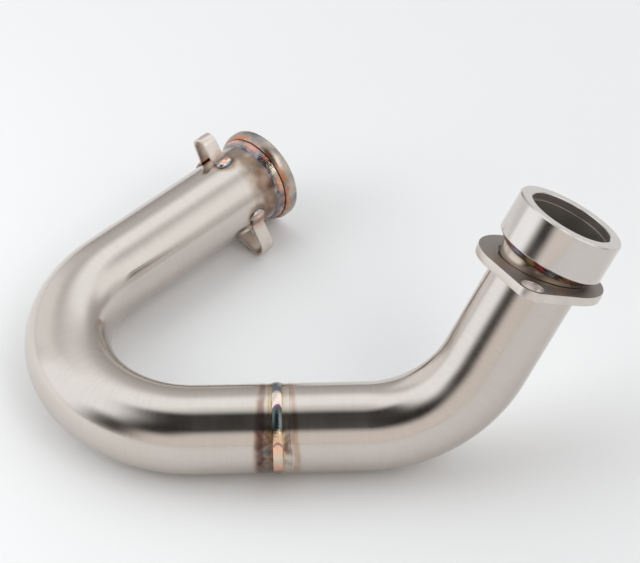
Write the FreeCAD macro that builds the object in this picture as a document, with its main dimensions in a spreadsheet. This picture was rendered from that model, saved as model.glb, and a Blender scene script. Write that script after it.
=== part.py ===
# Single-cylinder exhaust header: two bent tube sections welded end to end, a port collar with a
# loose two-stud flange behind it, an outlet ring and two spring hooks.
import FreeCAD, Part
import math
import os
import Sketcher

os.makedirs("parts", exist_ok=True)
doc = FreeCAD.newDocument("exhaust_header")

# Driving dimensions, in millimetres and degrees
SIZES = [
    ("tube_diameter", 44.45, "outside of both tube sections"),
    ("tube_wall", 1.6, "wall of both tube sections"),
    ("bend_radius", 66.675, "centreline radius of both bends"),
    ("rear_straight", 40.0, "middle weld to the U bend"),
    ("rear_bend_angle", 135.0, "turn of the U bend"),
    ("outlet_straight", 116.0, "U bend to the outlet face"),
    ("head_straight", 44.5, "middle weld to the head bend"),
    ("head_bend_angle", 61.5, "turn of the head bend"),
    ("port_straight", 84.5, "head bend to the port face"),
    ("head_twist", 70.0, "angle between the planes of the two bends"),
    ("middle_weld_width", 4.7, "bead that joins the two tube sections"),
    ("middle_weld_crown", 0.6, "height of that bead over the tube"),
    ("socket_clearance", 0.05, "radial play of a tube end in its collar or ring"),
    ("collar_wall", 5.425, "port collar round the tube end"),
    ("collar_height", 21.0, "port face to the underside of the collar"),
    ("collar_lip", 4.0, "port face to the tube end that butts against the lip"),
    ("collar_ledge", 0.775, "ring of the tube end that shows inside the lip"),
    ("collar_chamfer", 0.7, "outer edge of the port face"),
    ("collar_bore_chamfer", 0.4, "inner edge of the port face"),
    ("collar_round", 0.8, "outer edge of the underside"),
    ("port_weld_length", 4.4, "collar fillet weld, along the tube"),
    ("port_weld_margin", 0.9, "collar underside left bare outside the weld"),
    ("port_weld_bulge", 0.35, "how far the weld face stands out"),
    ("flange_play", 0.975, "radial clearance of the loose flange on the tube"),
    ("flange_rim", 9.3, "plate round the bore"),
    ("flange_thickness", 4.5, "plate of the loose flange"),
    ("flange_ear_radius", 8.0, "round end of each ear"),
    ("flange_edge_break", 0.4, "broken edges of the plate"),
    ("stud_spacing", 72.0, "between the two stud holes"),
    ("stud_hole", 11.8, "diameter of a stud hole"),
    ("flange_station", 31.1, "port face to the middle of the plate"),
    ("flange_offset", 0.2, "middle of the plate off the tube's axis"),
    ("flange_tilt", 7.5, "lean of the loose plate about its long axis"),
    ("flange_turn", 14.2, "turn of the ears round the tube"),
    ("ring_wall", 4.025, "outlet ring round the tube end"),
    ("ring_taper", 1.0, "how much thinner the ring is next to its weld"),
    ("ring_length", 7.4, "length of the outlet ring"),
    ("ring_round", 1.4, "outer edge at the outlet face"),
    ("ring_land", 3.2, "straight seat of the ring behind that edge"),
    ("ring_edge_break", 0.4, "outer edge on the weld side"),
    ("outlet_weld_length", 5.0, "ring fillet weld, along the tube"),
    ("outlet_weld_step", 0.9, "ring edge left proud of the weld"),
    ("outlet_weld_bulge", 0.5, "how far the weld face stands out"),
    ("hook_width", 8.2, "strap of a spring hook, along the tube"),
    ("hook_strap", 1.5, "thickness of the strap"),
    ("hook_height", 14.6, "top of a loop over the tube"),
    ("hook_foot_radius", 2.6, "bend between leg and foot, to its middle"),
    ("upper_hook_tip_radius", 4.4, "top bend of the upper strap, to its middle"),
    ("lower_hook_tip_radius", 5.6, "top bend of the lower strap, to its middle"),
    ("upper_hook_lean", 6.0, "lean of each leg of the upper hook"),
    ("lower_hook_lean", 19.0, "lean of each leg of the lower hook"),
    ("upper_hook_turn", 58.4, "place of the upper hook round the tube, from the far side"),
    ("lower_hook_turn", 39.2, "place of the lower hook round the tube"),
    ("upper_hook_station", 27.3, "outlet face to the middle of the upper hook"),
    ("lower_hook_station", 27.5, "outlet face to the middle of the lower hook"),
    ("upper_hook_reach", 10.5, "middle of the upper loop round the tube to the end of a foot"),
    ("lower_hook_reach", 15.5, "middle of the lower loop round the tube to the end of a foot"),
    ("foot_weld_width", 10.6, "weld at the end of a foot, along the tube"),
    ("foot_weld_length", 6.6, "the same weld, round the tube"),
    ("foot_weld_height", 2.2, "the same weld, over the tube"),
]

sheet = doc.addObject("Spreadsheet::Sheet", "Sizes")
for row, (alias, value, meaning) in enumerate(SIZES, start=1):
    sheet.set("A%d" % row, alias)
    sheet.set("B%d" % row, "%.6g" % value)
    sheet.set("C%d" % row, meaning)
    sheet.setAlias("B%d" % row, alias)
doc.recompute()

X_AXIS = FreeCAD.Vector(1, 0, 0)
Y_AXIS = FreeCAD.Vector(0, 1, 0)
Z_AXIS = FreeCAD.Vector(0, 0, 1)
POINTS_OF_AN_EDGE = ("edge", "start", "end", "centre")
START = POINTS_OF_AN_EDGE.index("start")
END = POINTS_OF_AN_EDGE.index("end")
CENTRE = POINTS_OF_AN_EDGE.index("centre")
ORIGIN = (-1, START)


def size(formula):
    """The value of a size, or of a formula of sizes, as the sheet holds it."""
    result = sheet.evalExpression(formula.replace("Sizes.", ""))
    return float(getattr(result, "Value", result))


def cell(alias):
    """The same size as a term of an expression."""
    return "Sizes." + alias


TUBE_RADIUS = "Sizes.tube_diameter / 2"
TUBE_BORE_RADIUS = "(%s - Sizes.tube_wall)" % TUBE_RADIUS
SOCKET_RADIUS = "(%s + Sizes.socket_clearance)" % TUBE_RADIUS
COLLAR_RADIUS = "(%s + Sizes.collar_wall)" % SOCKET_RADIUS
COLLAR_BORE_RADIUS = "(%s + Sizes.collar_ledge)" % TUBE_BORE_RADIUS
RING_RADIUS = "(%s + Sizes.ring_wall)" % SOCKET_RADIUS
RING_WELD_SIDE_RADIUS = "(%s - Sizes.ring_taper)" % RING_RADIUS
FLANGE_BORE_RADIUS = "(%s + Sizes.flange_play)" % TUBE_RADIUS
FLANGE_RADIUS = "(%s + Sizes.flange_rim)" % FLANGE_BORE_RADIUS
FOOT_RADIUS = "(%s + Sizes.hook_strap / 2)" % TUBE_RADIUS


def arc_radius(width, height, bulge):
    """Radius of the arc that stands out by bulge from a chord of this width and height."""
    half_chord_squared = "(pow(%s; 2) + pow(%s; 2)) / 4" % (width, height)
    return "(%s + pow(%s; 2)) / (2 * %s)" % (half_chord_squared, bulge, bulge)


# Bodies, sketches and their dimensions
def new_body(label):
    body = doc.addObject("PartDesign::Body", label)
    body.Label = label
    return body


def new_sketch(body, role, name):
    plane = [item for item in body.Origin.OriginFeatures if item.Role == role][0]
    sketch = body.newObject("Sketcher::SketchObject", name)
    sketch.AttachmentSupport = (plane, [""])
    sketch.MapMode = "FlatFace"
    return sketch


def dimension(sketch, kind, places, formula):
    """Add one dimension to a sketch and bind it to the sheet."""
    value = size(formula)
    if kind == "Angle":
        value = math.radians(value)
        formula = "(%s) * 1deg" % formula
    index = sketch.addConstraint(Sketcher.Constraint(kind, *places, value))
    sketch.setExpression("Constraints[%d]" % index, formula)


def point_at(sketch, place, across, up):
    """Hold a point of a sketch at two formulas measured from the origin."""
    for kind, formula in (("DistanceX", across), ("DistanceY", up)):
        dimension(sketch, kind, ORIGIN + place, formula)


def closed_outline(sketch, corners, arcs):
    """Closed outline through the corners; arcs gives the radius of each edge that is an arc."""
    points = [FreeCAD.Vector(size(across), size(up), 0) for across, up in corners]
    count = len(points)
    for edge in range(count):
        first, last = points[edge], points[(edge + 1) % count]
        if edge in arcs:
            sketch.addGeometry(arc_between(first, last, size(arcs[edge])))
        else:
            sketch.addGeometry(Part.LineSegment(first, last))
    for edge in range(count):
        previous = (edge - 1) % count
        start = arc_end(edge in arcs, START)
        finish = arc_end(previous in arcs, END)
        sketch.addConstraint(Sketcher.Constraint("Coincident", previous, finish, edge, start))
        point_at(sketch, (edge, start), *corners[edge])
        if edge in arcs:
            dimension(sketch, "Radius", (edge,), arcs[edge])


def arc_end(is_arc, end):
    """Outlines run clockwise round their arcs, and a sketch keeps arcs anticlockwise."""
    return START + END - end if is_arc else end


def arc_between(first, last, radius):
    """Arc of less than half a turn, bulging to the left of the way from first to last."""
    chord = last - first
    middle = (first + last) / 2
    depth = math.sqrt(radius ** 2 - chord.Length ** 2 / 4)
    to_the_right = FreeCAD.Vector(chord.y, -chord.x, 0) / chord.Length
    centre = middle + to_the_right * depth
    circle = Part.Circle(centre, Z_AXIS, radius)
    from_last = math.atan2(last.y - centre.y, last.x - centre.x)
    from_first = math.atan2(first.y - centre.y, first.x - centre.x)
    return Part.ArcOfCircle(circle, from_last, from_first)


def turned_piece(label, corners, arcs):
    """Body turned about its own X axis from an outline in its XY plane."""
    body = new_body(label)
    sketch = new_sketch(body, "XY_Plane", label + "_outline")
    closed_outline(sketch, corners, arcs)
    turning = body.newObject("PartDesign::Revolution", label + "_turning")
    turning.Profile = sketch
    turning.ReferenceAxis = (sketch, ["H_Axis"])
    turning.Angle = 360
    return body


# Tube sections
def tube_section(label, first_straight, turn, last_straight):
    """Tube from the middle weld along +X, bent towards +Y; the lengths are formulas."""
    body = new_body(label)
    path = new_sketch(body, "XY_Plane", label + "_path")
    angle = math.radians(size(turn))
    radius = size(cell("bend_radius"))
    bend_start = FreeCAD.Vector(size(first_straight), 0, 0)
    centre = bend_start + Y_AXIS * radius
    bend_end = centre + FreeCAD.Vector(math.sin(angle), -math.cos(angle), 0) * radius
    far_end = bend_end + FreeCAD.Vector(math.cos(angle), math.sin(angle), 0) * size(last_straight)
    bend = Part.ArcOfCircle(Part.Circle(centre, Z_AXIS, radius), -math.pi / 2, angle - math.pi / 2)
    path.addGeometry(Part.LineSegment(FreeCAD.Vector(), bend_start))
    path.addGeometry(bend)
    path.addGeometry(Part.LineSegment(bend_end, far_end))
    path.addConstraint(Sketcher.Constraint("Coincident", 0, START, *ORIGIN))
    path.addConstraint(Sketcher.Constraint("Horizontal", 0))
    path.addConstraint(Sketcher.Constraint("Tangent", 0, END, 1, START))
    path.addConstraint(Sketcher.Constraint("Tangent", 1, END, 2, START))
    dimension(path, "Distance", (0,), first_straight)
    dimension(path, "Radius", (1,), cell("bend_radius"))
    dimension(path, "Angle", (2,), turn)
    dimension(path, "Distance", (2,), last_straight)

    section = new_sketch(body, "YZ_Plane", label + "_section")
    for edge, formula in enumerate((TUBE_RADIUS, TUBE_BORE_RADIUS)):
        section.addGeometry(Part.Circle(FreeCAD.Vector(), Z_AXIS, size(formula)))
        section.addConstraint(Sketcher.Constraint("Coincident", edge, CENTRE, *ORIGIN))
        dimension(section, "Radius", (edge,), formula)

    pipe = body.newObject("PartDesign::AdditivePipe", label + "_pipe")
    pipe.Profile = section
    pipe.Spine = path
    return body


# Collar, ring and the welds that run round the tube
def port_collar():
    """Collar turned about X with its port face at the origin, over the end of the head tube."""
    corners = [
        ("-" + cell("collar_bore_chamfer"), COLLAR_BORE_RADIUS),
        ("-" + cell("collar_lip"), COLLAR_BORE_RADIUS),
        ("-" + cell("collar_lip"), SOCKET_RADIUS),
        ("-" + cell("collar_height"), SOCKET_RADIUS),
        ("-" + cell("collar_height"), "%s - %s" % (COLLAR_RADIUS, cell("collar_round"))),
        ("%s - %s" % (cell("collar_round"), cell("collar_height")), COLLAR_RADIUS),
        ("-" + cell("collar_chamfer"), COLLAR_RADIUS),
        ("0", "%s - %s" % (COLLAR_RADIUS, cell("collar_chamfer"))),
        ("0", "%s + %s" % (COLLAR_BORE_RADIUS, cell("collar_bore_chamfer"))),
    ]
    return turned_piece("port_collar", corners, {4: cell("collar_round")})


def outlet_ring():
    """Ring over the end of the rear tube, its outlet face at the origin."""
    corners = [
        ("-" + cell("ring_length"), SOCKET_RADIUS),
        ("-" + cell("ring_length"),
         "%s - %s" % (RING_WELD_SIDE_RADIUS, cell("ring_edge_break"))),
        ("%s - %s" % (cell("ring_edge_break"), cell("ring_length")), RING_WELD_SIDE_RADIUS),
        ("-(%s + %s)" % (cell("ring_round"), cell("ring_land")), RING_RADIUS),
        ("-" + cell("ring_round"), RING_RADIUS),
        ("0", "%s - %s" % (RING_RADIUS, cell("ring_round"))),
        ("0", SOCKET_RADIUS),
    ]
    return turned_piece("outlet_ring", corners, {4: cell("ring_round")})


def fillet_weld(label, face, length, outer_radius, bulge):
    """Weld in the corner between the tube and a face that lies this far back along it."""
    far_side = "-(%s + %s)" % (face, length)
    corners = [
        ("-" + face, TUBE_RADIUS),
        (far_side, TUBE_RADIUS),
        ("-" + face, outer_radius),
    ]
    rise = "(%s - %s)" % (outer_radius, TUBE_RADIUS)
    return turned_piece(label, corners, {1: arc_radius(length, rise, bulge)})


def middle_weld():
    """Bead over the butt of the two tube sections, at the origin."""
    half_width = cell("middle_weld_width") + " / 2"
    corners = [("-" + half_width, TUBE_RADIUS), (half_width, TUBE_RADIUS)]
    crown = arc_radius(cell("middle_weld_width"), "0", cell("middle_weld_crown"))
    return turned_piece("middle_weld", corners, {0: crown})


# Loose flange
def head_flange():
    """Two-stud plate in the YZ plane, ears along Z, thickness along X about the origin."""
    body = new_body("head_flange")
    sketch = new_sketch(body, "YZ_Plane", "head_flange_outline")
    middle_radius = size(FLANGE_RADIUS)
    ear_radius = size(cell("flange_ear_radius"))
    reach = size(cell("stud_spacing")) / 2
    lean = math.acos((middle_radius - ear_radius) / reach)

    def rim(height, radius, angle):
        """Point of a circle round the ears' centre line, its angle measured from that line."""
        return FreeCAD.Vector(radius * math.sin(angle), height + radius * math.cos(angle), 0)

    def rim_arc(height, radius, start, stop):
        circle = Part.Circle(FreeCAD.Vector(0, height, 0), Z_AXIS, radius)
        return Part.ArcOfCircle(circle, math.pi / 2 - stop, math.pi / 2 - start)

    far_lean = math.pi - lean
    sketch.addGeometry(rim_arc(reach, ear_radius, -lean, lean))
    sketch.addGeometry(Part.LineSegment(rim(reach, ear_radius, lean), rim(0, middle_radius, lean)))
    sketch.addGeometry(rim_arc(0, middle_radius, lean, far_lean))
    sketch.addGeometry(
        Part.LineSegment(rim(0, middle_radius, far_lean), rim(-reach, ear_radius, far_lean)))
    sketch.addGeometry(rim_arc(-reach, ear_radius, far_lean, 2 * math.pi - far_lean))
    sketch.addGeometry(
        Part.LineSegment(rim(-reach, ear_radius, -far_lean), rim(0, middle_radius, -far_lean)))
    sketch.addGeometry(rim_arc(0, middle_radius, -far_lean, -lean))
    sketch.addGeometry(
        Part.LineSegment(rim(0, middle_radius, -lean), rim(reach, ear_radius, -lean)))
    for edge in range(8):
        following = (edge + 1) % 8
        this_end = arc_end(edge % 2 == 0, END)
        next_start = arc_end(following % 2 == 0, START)
        sketch.addConstraint(
            Sketcher.Constraint("Tangent", edge, this_end, following, next_start))
    for edge in (2, 6):
        sketch.addConstraint(Sketcher.Constraint("Coincident", edge, CENTRE, *ORIGIN))
        dimension(sketch, "Radius", (edge,), FLANGE_RADIUS)
    half_spacing = cell("stud_spacing") + " / 2"
    for edge, height in ((0, half_spacing), (4, "-" + half_spacing)):
        point_at(sketch, (edge, CENTRE), "0", height)
        dimension(sketch, "Radius", (edge,), cell("flange_ear_radius"))

    stud_radius = cell("stud_hole") + " / 2"
    holes = [
        ("0", FLANGE_BORE_RADIUS), (half_spacing, stud_radius), ("-" + half_spacing, stud_radius)]
    for edge, (height, formula) in enumerate(holes, start=sketch.GeometryCount):
        centre = FreeCAD.Vector(0, size(height), 0)
        sketch.addGeometry(Part.Circle(centre, Z_AXIS, size(formula)))
        point_at(sketch, (edge, CENTRE), "0", height)
        dimension(sketch, "Radius", (edge,), formula)

    plate = body.newObject("PartDesign::Pad", "head_flange_plate")
    plate.Profile = sketch
    plate.Midplane = True
    plate.setExpression("Length", cell("flange_thickness"))
    doc.recompute()
    flat_faces = [
        "Face%d" % number for number, face in enumerate(plate.Shape.Faces, start=1)
        if isinstance(face.Surface, Part.Plane) and abs(face.Surface.Axis.x) > 0.99]
    edge_break = body.newObject("PartDesign::Chamfer", "head_flange_edge_break")
    edge_break.Base = (plate, flat_faces)
    edge_break.setExpression("Size", cell("flange_edge_break"))
    return body


# Spring hooks
def spring_hook(label):
    """Strap bent into a loop over the tube; the loop rises along Y and the tube runs along X."""
    body = new_body(label)
    tip_radius_cell = cell(label + "_tip_radius")
    lean_cell = cell(label + "_lean")
    foot_reach = cell(label + "_reach")
    tip_height = "(%s + %s - %s / 2 - %s)" % (
        TUBE_RADIUS, cell("hook_height"), cell("hook_strap"), tip_radius_cell)

    # Half of the strap's middle line, worked out first so that the sketch opens where it closes
    lean = math.radians(size(lean_cell))
    tip_radius = size(tip_radius_cell)
    bend_radius = size(cell("hook_foot_radius"))
    foot = size(FOOT_RADIUS)
    end_angle = size(foot_reach) / foot
    tip_centre = FreeCAD.Vector(size(tip_height), 0, 0)
    outward = FreeCAD.Vector(math.sin(lean), math.cos(lean), 0)
    down_the_leg = FreeCAD.Vector(-math.cos(lean), math.sin(lean), 0)
    leg_top = tip_centre + outward * tip_radius
    reach = leg_top + outward * bend_radius
    along = reach.dot(down_the_leg)
    drop = math.sqrt((foot + bend_radius) ** 2 - reach.dot(reach) + along ** 2)
    leg_length = -along - drop
    leg_foot = leg_top + down_the_leg * leg_length
    bend_centre = leg_foot + outward * bend_radius
    touch = bend_centre * (foot / bend_centre.Length)
    touch_angle = math.atan2(touch.y, touch.x)

    path = new_sketch(body, "YZ_Plane", label + "_path")
    path.addGeometry(
        Part.ArcOfCircle(Part.Circle(tip_centre, Z_AXIS, tip_radius), 0, math.pi / 2 - lean))
    path.addGeometry(Part.LineSegment(leg_top, leg_foot))
    path.addGeometry(
        Part.ArcOfCircle(
            Part.Circle(bend_centre, Z_AXIS, bend_radius),
            math.pi + touch_angle, 3 * math.pi / 2 - lean))
    path.addGeometry(
        Part.ArcOfCircle(Part.Circle(FreeCAD.Vector(), Z_AXIS, foot), touch_angle, end_angle))
    path.addConstraint(Sketcher.Constraint("PointOnObject", 0, START, -1))
    path.addConstraint(Sketcher.Constraint("Tangent", 0, END, 1, START))
    path.addConstraint(Sketcher.Constraint("Tangent", 1, END, 2, END))
    path.addConstraint(Sketcher.Constraint("Tangent", 2, START, 3, START))
    path.addConstraint(Sketcher.Constraint("Coincident", 3, CENTRE, *ORIGIN))
    point_at(path, (0, CENTRE), tip_height, "0")
    dimension(path, "Radius", (0,), tip_radius_cell)
    dimension(path, "Radius", (2,), cell("hook_foot_radius"))
    dimension(path, "Radius", (3,), FOOT_RADIUS)
    dimension(path, "Angle", (1,), "180 - " + lean_cell)
    foot_end = "%s * cos(%s / %s * 1rad)" % (FOOT_RADIUS, foot_reach, FOOT_RADIUS)
    dimension(path, "DistanceX", (*ORIGIN, 3, END), foot_end)

    section = new_sketch(body, "XY_Plane", label + "_section")
    half_width = cell("hook_width") + " / 2"
    top = "(%s + %s)" % (TUBE_RADIUS, cell("hook_height"))
    underside = "(%s - %s)" % (top, cell("hook_strap"))
    corners = [
        ("-" + half_width, underside),
        ("-" + half_width, top),
        (half_width, top),
        (half_width, underside),
    ]
    closed_outline(section, corners, {})
    half_loop = body.newObject("PartDesign::AdditivePipe", label + "_half_loop")
    half_loop.Profile = section
    half_loop.Spine = path
    doc.recompute()
    mirror_plane = [item for item in body.Origin.OriginFeatures if item.Role == "XY_Plane"][0]
    other_half = body.newObject("PartDesign::Mirrored", label + "_other_half")
    other_half.Originals = [half_loop]
    other_half.MirrorPlane = (mirror_plane, [""])
    body.Tip = other_half
    return body


# Frames along the header
def turned(axis, angle):
    return FreeCAD.Placement(FreeCAD.Vector(), FreeCAD.Rotation(axis, angle))


def shifted(along, across=0.0, up=0.0):
    return FreeCAD.Placement(FreeCAD.Vector(along, across, up), FreeCAD.Rotation())


def tube_end(first_straight, turn, last_straight):
    """Frame at the far end of a section, X pointing out of the tube."""
    radius = size(cell("bend_radius"))
    angle = math.radians(turn)
    along = first_straight + radius * math.sin(angle) + last_straight * math.cos(angle)
    across = radius * (1 - math.cos(angle)) + last_straight * math.sin(angle)
    return shifted(along, across).multiply(turned(Z_AXIS, turn))


def foot_weld(label, frame, tube_solid, strap):
    """Blob over the end of a hook's foot, its middle at a frame whose Z leaves the tube."""
    blob = doc.addObject("Part::Ellipsoid", label + "_blob")
    blob.setExpression("Radius1", cell("foot_weld_height"))
    blob.setExpression("Radius2", cell("foot_weld_width") + " / 2")
    blob.setExpression("Radius3", cell("foot_weld_length") + " / 2")
    blob.Placement = frame
    on_the_tube = doc.addObject("Part::Cut", label + "_on_the_tube")
    on_the_tube.Base = blob
    on_the_tube.Tool = tube_solid
    weld = doc.addObject("Part::Cut", label)
    weld.Label = label
    weld.Base = on_the_tube
    weld.Tool = strap
    return weld, blob


# The pieces, each in the frame that carries it; the middle weld is at the origin for now
rear_tube = tube_section(
    "rear_tube", cell("rear_straight"), cell("rear_bend_angle"), cell("outlet_straight"))
head_tube = tube_section(
    "head_tube", cell("head_straight"), cell("head_bend_angle"),
    "%s - %s" % (cell("port_straight"), cell("collar_lip")))

rear_frame = turned(Y_AXIS, 180)
head_frame = turned(X_AXIS, size("head_twist"))
outlet_frame = rear_frame.multiply(
    tube_end(size("rear_straight"), size("rear_bend_angle"), size("outlet_straight")))
port_frame = head_frame.multiply(
    tube_end(size("head_straight"), size("head_bend_angle"), size("port_straight")))
flange_frame = port_frame.multiply(shifted(-size("flange_station")))
for step in (
        turned(X_AXIS, -size("flange_turn")),
        shifted(0, size("flange_offset")),
        turned(Z_AXIS, size("flange_tilt"))):
    flange_frame = flange_frame.multiply(step)

placed = [
    (rear_tube, rear_frame),
    (head_tube, head_frame),
    (middle_weld(), FreeCAD.Placement()),
    (port_collar(), port_frame),
    (fillet_weld(
        "port_weld", cell("collar_height"), cell("port_weld_length"),
        "(%s - %s)" % (COLLAR_RADIUS, cell("port_weld_margin")),
        cell("port_weld_bulge")), port_frame),
    (head_flange(), flange_frame),
    (outlet_ring(), outlet_frame),
    (fillet_weld(
        "outlet_weld", cell("ring_length"), cell("outlet_weld_length"),
        "(%s - %s)" % (RING_WELD_SIDE_RADIUS, cell("outlet_weld_step")),
        cell("outlet_weld_bulge")), outlet_frame),
]
nodes = [piece for piece, frame in placed]

# Tube's outside near the outlet, which the foot welds are cut to
outlet_cylinder = doc.addObject("Part::Cylinder", "outlet_cylinder")
outlet_cylinder.setExpression("Radius", TUBE_RADIUS)
outlet_cylinder.setExpression("Height", cell("outlet_straight"))
placed.append((outlet_cylinder, outlet_frame.multiply(turned(Y_AXIS, -90))))

# Each hook with a weld at each foot; sides are named for the header lying on a table
HOOKS = [
    ("upper_hook", 180.0, ("top", "outer")),
    ("lower_hook", 0.0, ("bottom", "inner")),
]
for label, half_turn, sides in HOOKS:
    foot_angle = math.degrees(size(cell(label + "_reach")) / size(FOOT_RADIUS))
    hook = spring_hook(label)
    hook_frame = outlet_frame.multiply(shifted(-size(label + "_station")))
    hook_frame = hook_frame.multiply(turned(X_AXIS, half_turn + size(label + "_turn")))
    placed.append((hook, hook_frame))
    nodes.append(hook)
    for side, direction in zip(sides, (1, -1)):
        foot_frame = hook_frame.multiply(turned(X_AXIS, direction * foot_angle))
        foot_frame = foot_frame.multiply(shifted(0, size(TUBE_RADIUS))).multiply(turned(X_AXIS, -90))
        weld, blob = foot_weld("%s_%s_weld" % (label, side), foot_frame, outlet_cylinder, hook)
        placed.append((blob, foot_frame))
        nodes.append(weld)


def check_objects():
    """Stop where an object has failed or a piece isn't one valid solid."""
    failed = [
        "%s %s %s" % (item.Name, item.State, item.getStatusString()) for item in doc.Objects
        if "Invalid" in item.State or "Error" in item.State]
    for node in nodes:
        shape = node.Shape
        if shape.isNull() or not shape.isValid() or len(shape.Solids) != 1 or shape.Volume <= 0:
            failed.append("%s has no valid single solid" % node.Label)
    if failed:
        raise RuntimeError("\n".join(failed))


# The header lies on its middle weld and its outlet ring, which stands out further than the
# tube: it is pitched until both touch the table, then its box is measured and centred
table_drop = size("%s - %s - Sizes.middle_weld_crown" % (RING_RADIUS, TUBE_RADIUS))
ring_reach = outlet_frame.multiply(shifted(-size("ring_round"))).Base.y
rest = turned(X_AXIS, math.degrees(math.asin(table_drop / ring_reach)))
for stage in ("measured", "centred"):
    for piece, frame in placed:
        piece.Placement = rest.multiply(frame)
    doc.recompute()
    check_objects()
    box = FreeCAD.BoundBox()
    for node in nodes:
        box.add(node.Shape.optimalBoundingBox(False, False))
    middle = shifted(-box.Center.x, -box.Center.y, -box.ZMin)
    rest = middle.multiply(rest)

for node in nodes:
    node.Shape.exportStep("parts/%s.step" % node.Label)
    print("%-26s %10.1f mm3" % (node.Label, node.Shape.Volume))
print("box", [round(value, 3) for value in (
    box.XMin, box.YMin, box.ZMin, box.XMax, box.YMax, box.ZMax)], stage)
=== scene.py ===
import math
import bpy
from mathutils import Matrix, Vector, noise

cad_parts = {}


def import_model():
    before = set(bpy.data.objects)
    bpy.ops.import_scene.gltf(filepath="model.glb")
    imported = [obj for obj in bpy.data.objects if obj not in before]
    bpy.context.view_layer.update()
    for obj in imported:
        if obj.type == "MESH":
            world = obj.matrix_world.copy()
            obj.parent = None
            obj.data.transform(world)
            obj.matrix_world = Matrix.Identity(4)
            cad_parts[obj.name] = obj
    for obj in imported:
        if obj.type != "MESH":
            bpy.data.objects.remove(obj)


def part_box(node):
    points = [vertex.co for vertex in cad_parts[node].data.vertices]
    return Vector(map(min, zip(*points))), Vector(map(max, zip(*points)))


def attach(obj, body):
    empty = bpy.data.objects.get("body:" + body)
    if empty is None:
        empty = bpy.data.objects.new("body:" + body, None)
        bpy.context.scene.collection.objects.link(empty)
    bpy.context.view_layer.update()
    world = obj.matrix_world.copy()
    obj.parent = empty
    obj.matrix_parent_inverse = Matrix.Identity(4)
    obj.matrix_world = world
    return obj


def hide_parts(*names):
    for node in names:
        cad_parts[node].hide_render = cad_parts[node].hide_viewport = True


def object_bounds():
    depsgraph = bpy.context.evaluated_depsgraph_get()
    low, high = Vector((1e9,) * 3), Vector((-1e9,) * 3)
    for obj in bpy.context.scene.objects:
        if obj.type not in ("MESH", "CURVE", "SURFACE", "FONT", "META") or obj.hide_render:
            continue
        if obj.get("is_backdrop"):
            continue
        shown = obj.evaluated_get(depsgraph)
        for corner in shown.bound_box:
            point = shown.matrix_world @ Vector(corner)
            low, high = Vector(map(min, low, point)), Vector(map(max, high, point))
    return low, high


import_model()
CAD_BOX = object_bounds()
MM = 0.001

# Sizes of the header, in millimetres and degrees
TUBE_RADIUS = 22.225
TUBE_WALL = 1.6
BEND_RADIUS = 66.675
REAR_STRAIGHT = 40.0
REAR_BEND = 135.0
OUTLET_STRAIGHT = 116.0
HEAD_STRAIGHT = 44.5
HEAD_BEND = 61.5
PORT_STRAIGHT = 84.5
HEAD_TWIST = 70.0
SOCKET_CLEARANCE = 0.05
MIDDLE_WELD_WIDTH = 4.7
MIDDLE_WELD_CROWN = 0.6
COLLAR_WALL = 5.425
COLLAR_HEIGHT = 21.0
COLLAR_LIP = 4.0
COLLAR_LEDGE = 0.775
COLLAR_CHAMFER = 0.7
COLLAR_BORE_CHAMFER = 0.4
COLLAR_ROUND = 0.8
PORT_WELD_LENGTH = 4.4
PORT_WELD_MARGIN = 0.9
PORT_WELD_BULGE = 0.35
PORT_TOE_DRAW = 0.6
FLANGE_PLAY = 0.975
FLANGE_RIM = 9.3
FLANGE_THICKNESS = 4.5
FLANGE_EAR_RADIUS = 8.0
FLANGE_EDGE = 0.2
STUD_SPACING = 72.0
STUD_HOLE = 11.8
FLANGE_STATION = 31.1
FLANGE_OFFSET = 0.2
FLANGE_TILT = 7.5
FLANGE_TURN = 14.2
RING_WALL = 4.025
RING_TAPER = 1.0
RING_LENGTH = 7.4
RING_ROUND = 1.4
RING_LAND = 3.2
RING_EDGE = 0.4
OUTLET_WELD_LENGTH = 5.0
OUTLET_WELD_STEP = 0.9
OUTLET_WELD_BULGE = 0.5
OUTLET_TOE_DRAW = 2.4
BEAD_RIM_PLACE = 3.3
HOOK_WIDTH = 8.2
HOOK_STRAP = 1.5
HOOK_HEIGHT = 14.6
HOOK_FOOT_RADIUS = 2.6
HOOK_EDGE = 0.3
HOOKS = {
    "upper_hook": {
        "tip_radius": 4.4, "lean": 6.0, "turn": 180.0 + 58.4, "station": 27.3, "reach": 10.5,
        "sides": ("top", "outer")},
    "lower_hook": {
        "tip_radius": 5.6, "lean": 19.0, "turn": 39.2, "station": 27.5, "reach": 15.5,
        "sides": ("bottom", "inner")},
}
FOOT_WELD_WIDTH = 10.6
FOOT_WELD_LENGTH = 6.6
FOOT_WELD_HEIGHT = 2.2
FOOT_WELD_BURIED = 0.7

TUBE_BORE_RADIUS = TUBE_RADIUS - TUBE_WALL
SOCKET_RADIUS = TUBE_RADIUS + SOCKET_CLEARANCE
COLLAR_RADIUS = SOCKET_RADIUS + COLLAR_WALL
COLLAR_BORE_RADIUS = TUBE_BORE_RADIUS + COLLAR_LEDGE
RING_RADIUS = SOCKET_RADIUS + RING_WALL
RING_WELD_SIDE_RADIUS = RING_RADIUS - RING_TAPER
FLANGE_BORE_RADIUS = TUBE_RADIUS + FLANGE_PLAY
FLANGE_RADIUS = FLANGE_BORE_RADIUS + FLANGE_RIM
FOOT_RADIUS = TUBE_RADIUS + HOOK_STRAP / 2

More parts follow.
